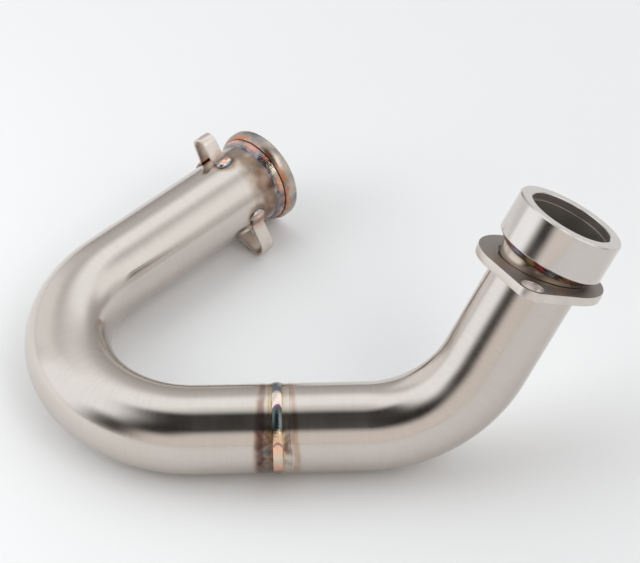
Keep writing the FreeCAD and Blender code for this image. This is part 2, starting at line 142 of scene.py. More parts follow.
# Fineness of the meshes, as steps round a whole turn or along one stretch
TUBE_STEPS = 128
TUBE_STATION_PITCH = 2.5
TUBE_EDGE = 0.15
TURNED_STEPS = 192
FILLET_STEPS = 720
FILLET_PROFILE_STEPS = 14
BEAD_STEPS = 960
BEAD_PROFILE_STEPS = 18
COLLAR_ROUND_STEPS = 6
RING_ROUND_STEPS = 8
EAR_STEPS = 40
DISC_STEPS = 60
FLANGE_BORE_STEPS = 160
STUD_HOLE_STEPS = 72
HOOK_TIP_STEPS = 24
HOOK_LEG_STEPS = 6
HOOK_FOOT_STEPS = 12
HOOK_EDGE_STEPS = 4
FOOT_WELD_RINGS = 40
FOOT_WELD_STEPS = 96
SHARP_ANGLE = 24
FLAT_COSINE = 0.95


# Frames along the header, in millimetres
def turned(axis, degrees):
    return Matrix.Rotation(math.radians(degrees), 4, axis)


def shifted(along, across=0.0, up=0.0):
    return Matrix.Translation((along, across, up))


def tube_end(first_straight, turn, last_straight):
    """Frame at the far end of a tube section, X pointing out of it."""
    angle = math.radians(turn)
    along = first_straight + BEND_RADIUS * math.sin(angle) + last_straight * math.cos(angle)
    across = BEND_RADIUS * (1 - math.cos(angle)) + last_straight * math.sin(angle)
    return shifted(along, across) @ turned("Z", turn)


def header_frame():
    """The header's own frame, at the middle weld: it lies on that weld and on its outlet ring."""
    low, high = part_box("middle_weld")
    middle = (low + high) / 2 / MM
    flat_outlet = turned("Y", 180) @ tube_end(REAR_STRAIGHT, REAR_BEND, OUTLET_STRAIGHT)
    ring_reach = (flat_outlet @ Vector((-RING_ROUND, 0, 0))).y
    drop = RING_RADIUS - TUBE_RADIUS - MIDDLE_WELD_CROWN
    return shifted(*middle) @ Matrix.Rotation(math.asin(drop / ring_reach), 4, "X")


HEADER = header_frame()
REAR = HEADER @ turned("Y", 180)
HEAD = HEADER @ turned("X", HEAD_TWIST)
OUTLET = REAR @ tube_end(REAR_STRAIGHT, REAR_BEND, OUTLET_STRAIGHT)
PORT = HEAD @ tube_end(HEAD_STRAIGHT, HEAD_BEND, PORT_STRAIGHT)
FLANGE = (
    PORT @ shifted(-FLANGE_STATION) @ turned("X", -FLANGE_TURN)
    @ shifted(0, FLANGE_OFFSET) @ turned("Z", FLANGE_TILT))


# Mesh helpers
def new_piece(name, node, material, vertices, faces, uvs=None, rounds=None):
    """Mesh object in metres that stands for a CAD node; uvs and rounds hold a pair per vertex."""
    mesh = bpy.data.meshes.new(name)
    mesh.from_pydata([Vector(vertex) * MM for vertex in vertices], [], faces)
    mesh.validate()
    for label, pairs in (("run", uvs), ("round", rounds)):
        if pairs is None:
            continue
        layer = mesh.uv_layers.new(name=label)
        for loop in mesh.loops:
            layer.data[loop.index].uv = pairs[loop.vertex_index]
    mesh.polygons.foreach_set("use_smooth", [True] * len(mesh.polygons))
    mesh.set_sharp_from_angle(angle=math.radians(SHARP_ANGLE))
    piece = bpy.data.objects.new(name, mesh)
    bpy.context.scene.collection.objects.link(piece)
    mesh.materials.append(material)
    body = "flange" if node == "head_flange" else "pipe"
    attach(piece, body)
    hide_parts(node)
    return piece


def ring_faces(rings, count, closed=False):
    """Quads between neighbouring rings of count points each."""
    faces = []
    for ring in range(rings if closed else rings - 1):
        low = ring * count
        high = (ring + 1) % rings * count
        for step in range(count):
            following = (step + 1) % count
            faces.append((low + step, low + following, high + following, high + step))
    return faces


def arc_points(centre, radius, start, stop, steps):
    """Points of an arc, its angles in degrees."""
    points = []
    for step in range(steps + 1):
        angle = math.radians(start + (stop - start) * step / steps)
        points.append((centre[0] + radius * math.cos(angle), centre[1] + radius * math.sin(angle)))
    return points


# Node helpers
def put(tree, kind, inputs=None, **settings):
    """New node whose inputs are given as numbers or as sockets to link."""
    node = tree.nodes.new(kind)
    for key, value in settings.items():
        setattr(node, key, value)
    for key, value in (inputs or {}).items():
        if isinstance(value, bpy.types.NodeSocket):
            tree.links.new(value, node.inputs[key])
        else:
            node.inputs[key].default_value = value
    return node


def maths(tree, operation, *values):
    """Result of a Math node on numbers or sockets."""
    inputs = dict(enumerate(values))
    return put(tree, "ShaderNodeMath", inputs, operation=operation).outputs[0]


def spread(tree, value, low, high, to_low=0.0, to_high=1.0):
    """Value taken smoothly from low..high to to_low..to_high and held beyond."""
    inputs = {"Value": value, "From Min": low, "From Max": high, "To Min": to_low, "To Max": to_high}
    return put(tree, "ShaderNodeMapRange", inputs, interpolation_type="SMOOTHSTEP").outputs[0]


# Socket numbers of a colour Mix node
MIX_SHARE, MIX_FIRST, MIX_SECOND, MIX_RESULT = 0, 6, 7, 2


def blend(tree, share, first, second, kind="MIX"):
    inputs = {MIX_SHARE: share, MIX_FIRST: first, MIX_SECOND: second}
    node = put(tree, "ShaderNodeMix", inputs, data_type="RGBA", blend_type=kind)
    return node.outputs[MIX_RESULT]


def tinted(tree, share, colour, tint):
    """Colour multiplied by a tint, to a share."""
    return blend(tree, share, colour, blend(tree, 1.0, colour, tint, "MULTIPLY"))


def shaded(colour, amount):
    """Plain colour made lighter or darker by a factor."""
    return tuple(part * amount for part in colour[:3]) + (1,)


def colours(tree, value, stops):
    """Colour ramp from stops of (position 0..1, colour)."""
    node = put(tree, "ShaderNodeValToRGB", {"Fac": value})
    ramp = node.color_ramp
    while len(ramp.elements) < len(stops):
        ramp.elements.new(0.5)
    for element, (position, colour) in zip(ramp.elements, stops):
        element.position = position
        element.color = colour
    return node.outputs["Color"]


def grain(tree, vector, scale=1.0, detail=2.0, roughness=0.5):
    inputs = {"Vector": vector, "Scale": scale, "Detail": detail, "Roughness": roughness}
    return put(tree, "ShaderNodeTexNoise", inputs).outputs["Fac"]


def steel(name, roughness, anisotropy=0.0):
    """New metal material: its node tree and its shader."""
    material = bpy.data.materials.new(name)
    material.use_nodes = True
    shader = material.node_tree.nodes["Principled BSDF"]
    shader.inputs["Metallic"].default_value = 1.0
    shader.inputs["Roughness"].default_value = roughness
    shader.inputs["Anisotropic"].default_value = anisotropy
    return material, material.node_tree, shader


def layer(tree, name):
    """The two numbers that a piece keeps in a UV layer.

    Layer run holds the length along a skin's profile and the place along its piece, in mm, and
    layer round the cosine and sine of the place round it.
    """
    pair = put(tree, "ShaderNodeUVMap", uv_map=name).outputs[0]
    parts = put(tree, "ShaderNodeSeparateXYZ", {0: pair})
    return parts.outputs[0], parts.outputs[1]


def triple(tree, first, second, third):
    return put(tree, "ShaderNodeCombineXYZ", {0: first, 1: second, 2: third}).outputs[0]


def lines(tree, pitch, wrap, detail=3.0):
    """Noise drawn out round a turned piece: fine along its run, long round it."""
    run = layer(tree, "run")[0]
    cosine, sine = layer(tree, "round")
    vector = triple(
        tree, maths(tree, "MULTIPLY", run, pitch),
        maths(tree, "MULTIPLY", cosine, wrap), maths(tree, "MULTIPLY", sine, wrap))
    return grain(tree, vector, detail=detail, roughness=0.6)


def place_noise(tree, size, detail=2.0, offset=0.0):
    """Noise in the piece's own space with blobs of a size in mm."""
    spot = put(tree, "ShaderNodeTexCoord").outputs["Object"]
    if offset:
        spot = put(tree, "ShaderNodeVectorMath", {0: spot, 1: (offset, offset, offset)}).outputs[0]
    return grain(tree, spot, 1 / (size * MM), detail)


def along_tangent(tree, shader):
    """Turns the brushing of a shader round its piece."""
    tangent = put(tree, "ShaderNodeTangent", direction_type="UV_MAP", uv_map="run").outputs[0]
    tree.links.new(tangent, shader.inputs["Tangent"])


def relief(tree, shader, height, strength, depth):
    """Bump from a height, its depth in mm."""
    inputs = {"Height": height, "Strength": strength, "Distance": depth * MM}
    bump = put(tree, "ShaderNodeBump", inputs).outputs[0]
    tree.links.new(bump, shader.inputs["Normal"])


def vary(tree, value, middle, swing):
    """Number that swings round a middle as value goes from 0 to 1."""
    return maths(tree, "MULTIPLY_ADD", value, 2 * swing, middle - swing)


STEEL_COLOUR = (0.635, 0.582, 0.54, 1)
CLOUD_TINT = (0.95, 0.94, 0.92, 1)
BEAD_RIM = (0.24, 0.25, 0.27, 1)
# Painted shade: near black for the shadowed gap where a bead meets a face.
BEAD_GAP_SHADE = (0.07, 0.05, 0.045, 1)
RING_RUST = (0.62, 0.24, 0.12, 1)
CLEAR = (1, 1, 1, 1)


def facing_side(tree, side):
    """Cosine of the angle between a place round a tube and a side in degrees."""
    cosine, sine = layer(tree, "round")
    facing = maths(tree, "MULTIPLY", cosine, math.cos(math.radians(side)))
    return maths(tree, "MULTIPLY_ADD", sine, math.sin(math.radians(side)), facing)


def beyond(tree, start, sign):
    """Distance along a tube in mm from start, towards its end for sign 1 and back for -1."""
    along = layer(tree, "run")[1]
    return maths(tree, "MULTIPLY", maths(tree, "SUBTRACT", along, start), sign)


def weld_zone(tree, colour, start, sign, width, stops, swell=0.0, side=0):
    """Heat tint beside a weld: colour times a ramp over the distance from along=start.

    width is the zone's reach in mm, swell how much further it reaches on the side at an angle.
    """
    reach = maths(tree, "MULTIPLY_ADD", facing_side(tree, side), swell, width)
    drift = vary(tree, place_noise(tree, size=13.0, offset=0.3 + start), 0.0, 1.3)
    distance = maths(tree, "ADD", beyond(tree, start, sign), drift)
    share = maths(tree, "DIVIDE", distance, reach)
    share = maths(tree, "MAXIMUM", share, 0.0)
    patch = place_noise(tree, size=12.0, offset=2.2 + start)
    strength = spread(tree, patch, 0.35, 0.6, to_low=0.4)
    return tinted(tree, strength, colour, colours(tree, share, stops))


def spot_zone(tree, colour, spot, size, stops):
    """Heat tint round a point: colour times a ramp over the distance from it."""
    here = put(tree, "ShaderNodeTexCoord").outputs["Object"]
    inputs = {0: here, 1: spot}
    away = put(tree, "ShaderNodeVectorMath", inputs, operation="DISTANCE").outputs["Value"]
    drift = vary(tree, place_noise(tree, size=5.0, offset=spot[0]), 0.0, 0.25)
    share = maths(tree, "MULTIPLY_ADD", away, 1 / (size * MM), drift)
    tint = colours(tree, share, stops)
    return blend(tree, 1.0, colour, tint, "MULTIPLY")


def stain(tree, colour, start, sign, near, far, side, narrow, stops):
    """Blotch from near to far of a weld at along=start, on the side at an angle.

    narrow is the cosine at which the blotch ends to either side.
    """
    edge = place_noise(tree, size=7.0, offset=3.3)
    facing = maths(tree, "ADD", facing_side(tree, side), vary(tree, edge, 0.0, 0.2))
    distance = maths(tree, "ADD", beyond(tree, start, sign), vary(tree, edge, 0.0, 3.0))
    share = spread(tree, facing, narrow, narrow + 0.16)
    share = maths(tree, "MULTIPLY", share, spread(tree, distance, near - 0.7, near + 0.7))
    fade = spread(tree, distance, far - 2.6, far + 1.6, 1.0, 0.0)
    share = maths(tree, "MULTIPLY", share, fade)
    tint = colours(tree, place_noise(tree, size=5.0, offset=1.7), stops)
    return tinted(tree, share, colour, tint)


def tube_steel(name, zones, stains, spots=()):
    """Satin tube brushed round its section, with heat tints by its welds."""
    material, tree, shader = steel(name, roughness=0.22, anisotropy=0.8)
    fine = lines(tree, pitch=1.1, wrap=1.6, detail=4.0)
    broad = lines(tree, pitch=0.16, wrap=0.9, detail=2.0)
    cloud = place_noise(tree, size=26.0, detail=3.0)
    colour = blend(tree, fine, shaded(STEEL_COLOUR, 0.93), shaded(STEEL_COLOUR, 1.06))
    colour = tinted(tree, vary(tree, cloud, 0.5, 0.5), colour, CLOUD_TINT)
    for zone in zones:
        colour = weld_zone(tree, colour, **zone)
    for blotch in stains:
        colour = stain(tree, colour, **blotch)
    for spot in spots:
        colour = spot_zone(tree, colour, spot, FOOT_SPOT_SIZE, FOOT_SPOT)
    tree.links.new(colour, shader.inputs["Base Color"])
    rough = maths(tree, "ADD", vary(tree, fine, 0.16, 0.04), vary(tree, broad, 0.0, 0.02))
    tree.links.new(rough, shader.inputs["Roughness"])
    along_tangent(tree, shader)
    relief(tree, shader, fine, strength=0.13, depth=0.01)
    return material


def turned_steel(name, base, roughness):
    """Smooth lathe-turned steel with fine turning lines and faint smudges."""
    material, tree, shader = steel(name, roughness, anisotropy=0.6)
    fine = lines(tree, pitch=3.0, wrap=0.8)
    smudge = place_noise(tree, size=11.0, detail=4.0, offset=2.0)
    colour = blend(tree, smudge, shaded(base, 0.93), shaded(base, 1.05))
    tree.links.new(colour, shader.inputs["Base Color"])
    rough = maths(tree, "ADD", vary(tree, fine, roughness, 0.03), vary(tree, smudge, 0.0, 0.04))
    tree.links.new(rough, shader.inputs["Roughness"])
    along_tangent(tree, shader)
    relief(tree, shader, fine, strength=0.25, depth=0.01)
    return material


def bore_steel(name, base, roughness):
    """Dull inner wall."""
    material, tree, shader = steel(name, roughness)
    shader.inputs["Metallic"].default_value = 0.7
    streak = lines(tree, pitch=0.5, wrap=1.5)
    patch = place_noise(tree, size=8.0, detail=3.0, offset=11.0)
    mottle = maths(tree, "MULTIPLY_ADD", streak, 0.5, maths(tree, "MULTIPLY", patch, 0.5))
    colour = blend(tree, mottle, shaded(base, 0.8), base)
    tree.links.new(colour, shader.inputs["Base Color"])
    tree.links.new(vary(tree, patch, roughness, 0.08), shader.inputs["Roughness"])
    relief(tree, shader, streak, strength=0.2, depth=0.02)
    return material


def plate_steel(name, base, roughness, grit):
    """Plate with a fine matte grain."""
    material, tree, shader = steel(name, roughness)
    speck = place_noise(tree, size=0.7, detail=3.0, offset=1.0)
    patch = place_noise(tree, size=9.0, detail=3.0, offset=4.0)
    colour = blend(tree, vary(tree, patch, 0.5, 0.4), shaded(base, 0.82), shaded(base, 1.12))
    tree.links.new(colour, shader.inputs["Base Color"])
    rough = maths(tree, "ADD", vary(tree, speck, roughness, 0.06), vary(tree, patch, 0.0, 0.06))
    tree.links.new(rough, shader.inputs["Roughness"])
    relief(tree, shader, speck, strength=grit, depth=0.03)
    return material


def strap_steel(name, spots):
    """Folded strap, satin along its length, with heat tints at its feet."""
    material, tree, shader = steel(name, roughness=0.34)
    cloud = place_noise(tree, size=6.0, detail=3.0, offset=6.0)
    run, along = layer(tree, "run")
    drawn = triple(tree, maths(tree, "MULTIPLY", run, 0.25), maths(tree, "MULTIPLY", along, 4.0), 0.0)
    fine = grain(tree, drawn, detail=3.0, roughness=0.6)
    colour = blend(tree, cloud, (0.64, 0.56, 0.5, 1), (0.78, 0.71, 0.66, 1))
    for spot in spots:
        colour = spot_zone(tree, colour, spot, STRAP_SPOT_SIZE, STRAP_SPOT)
    tree.links.new(colour, shader.inputs["Base Color"])
    tree.links.new(vary(tree, fine, 0.33, 0.07), shader.inputs["Roughness"])
    relief(tree, shader, fine, strength=0.3, depth=0.02)
    return material


def around_share(tree, drift_size, drift):
    """Place round a turned piece, 0 to 1 from its local -Y, shifted by noise."""
    cosine, sine = layer(tree, "round")
    angle = maths(tree, "ARCTAN2", sine, cosine)
    share = maths(tree, "MULTIPLY_ADD", angle, 1 / (2 * math.pi), 0.5)
    wander = vary(tree, place_noise(tree, drift_size, offset=8.0), 0.0, drift)
    return maths(tree, "ADD", share, wander)


def bead_steel(name, stops, roughness, drift_size, drift, bow=0.0, seam=None):
    """Weld bead coloured by heat round its length.

    bow bends the colours over the bead's width; the bead has painted shade, near black, in a seam at
    along=seam, and is blue-grey at its edge on the tube.
    """
    material, tree, shader = steel(name, roughness)
    share = around_share(tree, drift_size, drift)
    along = layer(tree, "run")[1]
    share = maths(tree, "MULTIPLY_ADD", maths(tree, "MULTIPLY", along, along), -bow, share)
    colour = colours(tree, share, stops)
    speck = place_noise(tree, size=0.8, detail=3.0, offset=3.0)
    patch = place_noise(tree, size=2.6, offset=5.0)
    colour = tinted(tree, vary(tree, patch, 0.3, 0.3), colour, (0.8, 0.78, 0.82, 1))
    if seam is not None:
        rim = spread(tree, along, seam - BEAD_RIM_PLACE - 0.5, seam - BEAD_RIM_PLACE + 0.5, 1.0, 0.0)
        rim = maths(tree, "MULTIPLY", rim, vary(tree, patch, 0.8, 0.3))
        colour = blend(tree, rim, colour, BEAD_RIM)
        # Painted shade: a near black line at along=seam, standing in for the shadow of the gap where
        # the bead meets the ring's face.
        gap = maths(tree, "ABSOLUTE", maths(tree, "SUBTRACT", along, seam))
        gap = spread(tree, gap, 0.35, 0.9, 1.0, 0.0)
        colour = blend(tree, gap, colour, BEAD_GAP_SHADE)
    tree.links.new(colour, shader.inputs["Base Color"])
    tree.links.new(vary(tree, speck, roughness, 0.08), shader.inputs["Roughness"])
    relief(tree, shader, speck, strength=0.4, depth=0.05)
    return material


def ring_steel(name):
    """Outlet ring: turned steel mottled brown, tan and blue-grey by the weld's heat."""
    material, tree, shader = steel(name, roughness=0.3)
    along = layer(tree, "run")[1]
    patch = place_noise(tree, size=7.0, detail=4.0, offset=9.0)
    streak = place_noise(tree, size=3.0, detail=3.0, offset=12.0)
    colour = colours(tree, vary(tree, patch, 0.5, 1.1), [
        (0.0, (0.22, 0.22, 0.24, 1)), (0.3, (0.36, 0.33, 0.31, 1)), (0.5, (0.45, 0.36, 0.29, 1)),
        (0.68, (0.5, 0.44, 0.37, 1)), (0.85, (0.3, 0.31, 0.33, 1)), (1.0, (0.42, 0.38, 0.34, 1))])
    near = spread(tree, along, -RING_LENGTH + 3.2, -RING_LENGTH + 0.6)
    near = maths(tree, "MULTIPLY", near, spread(tree, streak, 0.42, 0.58))
    colour = blend(tree, near, colour, RING_RUST)
    tree.links.new(colour, shader.inputs["Base Color"])
    tree.links.new(vary(tree, streak, 0.3, 0.08), shader.inputs["Roughness"])
    relief(tree, shader, lines(tree, pitch=2.5, wrap=0.8), strength=0.2, depth=0.02)
    return material


def hook_frame(hook):
    return OUTLET @ shifted(-HOOKS[hook]["station"]) @ turned("X", HOOKS[hook]["turn"])


def foot_frame(hook, direction):
    """Frame on the tube under one foot of a hook, Y pointing out of the tube."""
    angle = math.degrees(HOOKS[hook]["reach"] / FOOT_RADIUS) * direction
    return hook_frame(hook) @ turned("X", angle) @ shifted(0, TUBE_RADIUS)


def foot_point(hook, direction):
    """Middle of a foot weld in metres."""
    return tuple(foot_frame(hook, direction).translation * MM)


# Heat tints, as stops of colour over the distance from a weld or over a stain's own noise
MIDDLE_LINES = [
    (0.0, (0.3, 0.2, 0.16, 1)), (0.12, (0.8, 0.66, 0.4, 1)), (0.3, (0.95, 0.86, 0.62, 1)),
    (0.42, (0.78, 0.64, 0.44, 1)), (0.52, (0.98, 0.94, 0.84, 1)), (1.0, CLEAR)]
MIDDLE_ZONE = [
    (0.0, CLEAR), (0.4, CLEAR), (0.52, (0.66, 0.5, 0.46, 1)), (0.66, (0.54, 0.4, 0.42, 1)),
    (0.78, (0.6, 0.5, 0.46, 1)), (0.9, (0.9, 0.82, 0.74, 1)), (1.0, CLEAR)]
HEAD_LINES = [
    (0.0, (0.4, 0.3, 0.2, 1)), (0.1, (0.85, 0.7, 0.42, 1)), (0.3, (0.98, 0.9, 0.72, 1)),
    (0.55, (1.0, 0.97, 0.92, 1)), (0.84, CLEAR), (0.92, (0.7, 0.52, 0.42, 1)), (1.0, CLEAR)]
HEAD_ZONE = [
    (0.0, CLEAR), (0.5, CLEAR), (0.62, (0.84, 0.7, 0.58, 1)), (0.8, (0.8, 0.66, 0.56, 1)),
    (1.0, CLEAR)]
OUTLET_ZONE = [
    (0.0, (0.16, 0.17, 0.2, 1)), (0.07, (0.28, 0.27, 0.3, 1)), (0.14, (0.4, 0.3, 0.24, 1)),
    (0.3, (0.42, 0.32, 0.25, 1)), (0.55, (0.5, 0.4, 0.33, 1)), (0.78, (0.74, 0.65, 0.58, 1)),
    (1.0, CLEAR)]
NECK_ZONE = [
    (0.0, (0.5, 0.42, 0.36, 1)), (0.1, (0.8, 0.72, 0.62, 1)), (0.3, (0.98, 0.9, 0.82, 1)),
    (0.6, (0.88, 0.8, 0.75, 1)), (1.0, CLEAR)]
DARK_STAIN = [
    (0.0, (0.22, 0.19, 0.24, 1)), (0.4, (0.26, 0.2, 0.19, 1)), (0.5, (0.46, 0.34, 0.27, 1)),
    (0.57, (0.3, 0.33, 0.38, 1)), (0.7, (0.24, 0.19, 0.19, 1)), (1.0, (0.2, 0.2, 0.25, 1))]
BROWN_STAIN = [
    (0.0, (0.5, 0.38, 0.33, 1)), (0.5, (0.34, 0.24, 0.21, 1)), (1.0, (0.5, 0.4, 0.35, 1))]
OUTLET_STAIN = [
    (0.0, (0.6, 0.5, 0.44, 1)), (0.5, (0.7, 0.57, 0.5, 1)), (1.0, (0.58, 0.46, 0.43, 1))]
FOOT_SPOT_SIZE = 8.0
FOOT_SPOT = [
    (0.0, (0.4, 0.42, 0.48, 1)), (0.55, (0.42, 0.44, 0.5, 1)), (0.66, (0.6, 0.45, 0.36, 1)),
    (0.8, (0.85, 0.75, 0.66, 1)), (1.0, CLEAR)]
STRAP_SPOT_SIZE = 9.0
STRAP_SPOT = [
    (0.0, (0.45, 0.48, 0.48, 1)), (0.6, (0.5, 0.49, 0.47, 1)), (0.7, (0.95, 0.66, 0.56, 1)),
    (0.8, (0.82, 0.76, 0.7, 1)), (1.0, CLEAR)]

# Materials of the pieces; a tint starts at the weld it belongs to
REAR_LENGTH = REAR_STRAIGHT + BEND_RADIUS * math.radians(REAR_BEND) + OUTLET_STRAIGHT
HEAD_LENGTH = HEAD_STRAIGHT + BEND_RADIUS * math.radians(HEAD_BEND) + PORT_STRAIGHT
MIDDLE_TOE = {"start": MIDDLE_WELD_WIDTH / 2, "sign": 1}
OUTLET_TOE = {"start": REAR_LENGTH - RING_LENGTH - OUTLET_WELD_LENGTH + OUTLET_TOE_DRAW / 2, "sign": -1}
PORT_TOE = {"start": HEAD_LENGTH - COLLAR_HEIGHT - PORT_WELD_LENGTH, "sign": -1}
FOOT_POINTS = {
    (hook, side): foot_point(hook, direction)
    for hook, facts in HOOKS.items() for side, direction in zip(facts["sides"], (1, -1))}
REAR_TUBE_STEEL = tube_steel(
    "rear_tube_steel",
    zones=[
        dict(MIDDLE_TOE, width=4.4, stops=MIDDLE_LINES),
        dict(MIDDLE_TOE, width=8.5, stops=MIDDLE_ZONE, swell=2.5, side=170),
        dict(OUTLET_TOE, width=15.0, stops=OUTLET_ZONE, swell=3.0)],
    stains=[
        dict(MIDDLE_TOE, near=0.2, far=8.6, side=180, narrow=0.6, stops=DARK_STAIN),
        dict(OUTLET_TOE, near=0.5, far=10.5, side=340, narrow=0.72, stops=OUTLET_STAIN)],
    spots=FOOT_POINTS.values())
HEAD_TUBE_STEEL = tube_steel(
    "head_tube_steel",
    zones=[
        dict(MIDDLE_TOE, width=4.2, stops=HEAD_LINES),
        dict(MIDDLE_TOE, width=7.5, stops=HEAD_ZONE, swell=2.0, side=120),
        dict(PORT_TOE, width=9.0, stops=NECK_ZONE, swell=2.0)],
    stains=[dict(MIDDLE_TOE, near=0.9, far=5.4, side=90, narrow=0.88, stops=BROWN_STAIN)])
TUBE_BORE = bore_steel("tube_bore", (0.34, 0.31, 0.27, 1), 0.45)
COLLAR_BORE = bore_steel("collar_bore", (0.42, 0.38, 0.34, 1), 0.32)
COLLAR_STEEL = turned_steel("collar_steel", (0.65, 0.605, 0.57, 1), 0.13)
PLATE_FACE = plate_steel("plate_face", (0.34, 0.305, 0.28, 1), 0.5, 0.5)
PLATE_EDGE = plate_steel("plate_edge", (0.72, 0.66, 0.61, 1), 0.36, 0.3)
RING_STEEL = ring_steel("ring_steel")
HOOK_STEEL = {
    hook: strap_steel(hook + "_steel", [FOOT_POINTS[hook, side] for side in facts["sides"]])
    for hook, facts in HOOKS.items()}

# Bead colours round each weld, from its local -Y by way of -Z
# Middle bead: heat colours round the weld, plus a painted dark reflection from 0.796 to 0.872. It is
# near black on the bead's upper front and stands in for the dark studio behind the camera.
MIDDLE_BEAD_HEAT_AND_REFLECTION = bead_steel("middle_bead", [
    (0.0, (0.8, 0.66, 0.52, 1)), (0.015, (0.78, 0.62, 0.48, 1)), (0.028, (0.92, 0.54, 0.38, 1)),
    (0.047, (0.88, 0.52, 0.38, 1)), (0.065, (0.45, 0.34, 0.28, 1)), (0.12, (0.3, 0.24, 0.2, 1)),
    (0.3, (0.62, 0.46, 0.35, 1)), (0.5, (0.35, 0.38, 0.42, 1)), (0.62, (0.26, 0.29, 0.3, 1)),
    (0.715, (0.22, 0.24, 0.28, 1)), (0.73, (0.86, 0.76, 0.66, 1)), (0.783, (0.88, 0.74, 0.64, 1)),
    (0.789, (0.3, 0.1, 0.26, 1)), (0.796, (0.11, 0.14, 0.13, 1)), (0.872, (0.1, 0.13, 0.13, 1)),
    (0.886, (0.85, 0.66, 0.42, 1)), (0.918, (0.92, 0.6, 0.42, 1)), (0.926, (0.28, 0.18, 0.22, 1)),
    (0.935, (0.98, 0.6, 0.42, 1)), (0.962, (0.95, 0.6, 0.44, 1)), (0.974, (0.8, 0.68, 0.54, 1)),
    (1.0, (0.8, 0.66, 0.52, 1))], roughness=0.24, drift_size=5.0, drift=0.006, bow=0.0025)
PORT_BEAD = bead_steel("port_bead", [
    (0.0, (0.5, 0.34, 0.2, 1)), (0.12, (0.6, 0.7, 0.8, 1)), (0.25, (0.8, 0.2, 0.2, 1)),
    (0.4, (0.4, 0.3, 0.22, 1)), (0.53, (0.7, 0.5, 0.2, 1)), (0.57, (0.8, 0.16, 0.16, 1)),
    (0.61, (0.62, 0.68, 0.9, 1)), (0.645, (0.16, 0.11, 0.1, 1)), (0.668, (0.85, 0.6, 0.24, 1)),
    (0.685, (0.35, 0.12, 0.1, 1)), (0.703, (1.0, 0.17, 0.2, 1)), (0.72, (0.2, 0.12, 0.24, 1)),
    (0.742, (0.7, 0.88, 0.88, 1)), (0.765, (0.13, 0.12, 0.2, 1)), (0.785, (0.9, 0.62, 0.26, 1)),
    (0.812, (0.98, 0.5, 0.36, 1)), (0.84, (0.2, 0.17, 0.14, 1)), (0.87, (0.62, 0.56, 0.5, 1)),
    (0.93, (0.3, 0.2, 0.16, 1)), (1.0, (0.5, 0.34, 0.2, 1))],
    roughness=0.2, drift_size=3.0, drift=0.006)
OUTLET_BEAD = bead_steel("outlet_bead", [
    (0.0, (0.8, 0.5, 0.4, 1)), (0.07, (0.4, 0.42, 0.44, 1)), (0.14, (0.74, 0.46, 0.38, 1)),
    (0.18, (0.72, 0.44, 0.36, 1)), (0.205, (0.36, 0.31, 0.28, 1)), (0.24, (0.78, 0.4, 0.3, 1)),
    (0.28, (0.66, 0.34, 0.27, 1)), (0.3, (0.4, 0.46, 0.5, 1)), (0.323, (0.9, 0.32, 0.22, 1)),
    (0.338, (0.26, 0.19, 0.16, 1)), (0.37, (0.7, 0.6, 0.46, 1)), (0.4, (0.5, 0.42, 0.34, 1)),
    (0.425, (1.0, 0.54, 0.34, 1)), (0.45, (0.8, 0.42, 0.28, 1)), (0.475, (0.15, 0.17, 0.23, 1)),
    (0.5, (0.5, 0.26, 0.16, 1)), (0.52, (0.15, 0.16, 0.2, 1)), (0.55, (0.66, 0.46, 0.42, 1)),
    (0.62, (0.42, 0.42, 0.44, 1)), (0.75, (0.9, 0.52, 0.38, 1)), (0.86, (0.35, 0.28, 0.25, 1)),
    (1.0, (0.8, 0.5, 0.4, 1))], roughness=0.26, drift_size=3.0, drift=0.012, seam=-RING_LENGTH)


def foot_bead(name, stops):
    """Foot weld coloured from its middle to its rim."""
    material, tree, shader = steel(name, roughness=0.24)
    along, across = layer(tree, "run")
    spot = triple(
        tree, maths(tree, "DIVIDE", along, FOOT_WELD_WIDTH / 2),
        maths(tree, "DIVIDE", across, FOOT_WELD_LENGTH / 2), 0.0)
    reach = put(tree, "ShaderNodeVectorMath", {0: spot}, operation="LENGTH").outputs["Value"]
    wander = vary(tree, place_noise(tree, size=3.0, offset=7.0), 0.0, 0.4)
    colour = colours(tree, maths(tree, "ADD", reach, wander), stops)
    tree.links.new(colour, shader.inputs["Base Color"])
    speck = place_noise(tree, size=0.8, detail=3.0, offset=3.0)
    tree.links.new(vary(tree, speck, 0.24, 0.08), shader.inputs["Roughness"])
    relief(tree, shader, speck, strength=0.4, depth=0.05)
    return material


FOOT_BEADS = {
    "upper_hook": foot_bead("upper_foot_bead", [
        (0.0, (0.9, 0.84, 0.78, 1)), (0.25, (0.9, 0.52, 0.38, 1)), (0.42, (0.82, 0.32, 0.22, 1)),
        (0.58, (0.9, 0.78, 0.66, 1)), (0.74, (0.5, 0.5, 0.48, 1)), (0.9, (0.22, 0.22, 0.22, 1))]),
    "lower_hook": foot_bead("lower_foot_bead", [
        (0.0, (0.9, 0.62, 0.55, 1)), (0.3, (0.8, 0.46, 0.38, 1)), (0.5, (0.56, 0.44, 0.38, 1)),
        (0.75, (0.5, 0.42, 0.36, 1)), (0.95, (0.36, 0.32, 0.3, 1))]),
}


# Pieces
def swept(name, node, material, at, rows, count, shape=None):
    """Closed skin over rows of (along, radius), each a ring of points at(along, radius, angle)."""
    vertices, uvs, rounds = [], [], []
    run = 0.0
    for index, (along, radius) in enumerate(rows):
        if index:
            run += math.dist(rows[index - 1], (along, radius))
        for step in range(count):
            angle = 2 * math.pi * step / count
            shift = shape(along, radius, angle, index) if shape else (0.0, 0.0)
            vertices.append(at(along + shift[0], radius + shift[1], angle))
            uvs.append((run, along))
            rounds.append((math.cos(angle), math.sin(angle)))
    faces = ring_faces(len(rows), count, closed=True)
    return new_piece(name, node, material, vertices, faces, uvs, rounds)


def line_inside(piece, material, count, first, last):
    """Gives the rings of faces first..last of a swept piece the material of its bore."""
    piece.data.materials.append(material)
    for polygon in list(piece.data.polygons)[first * count:(last + 1) * count]:
        polygon.material_index = 1


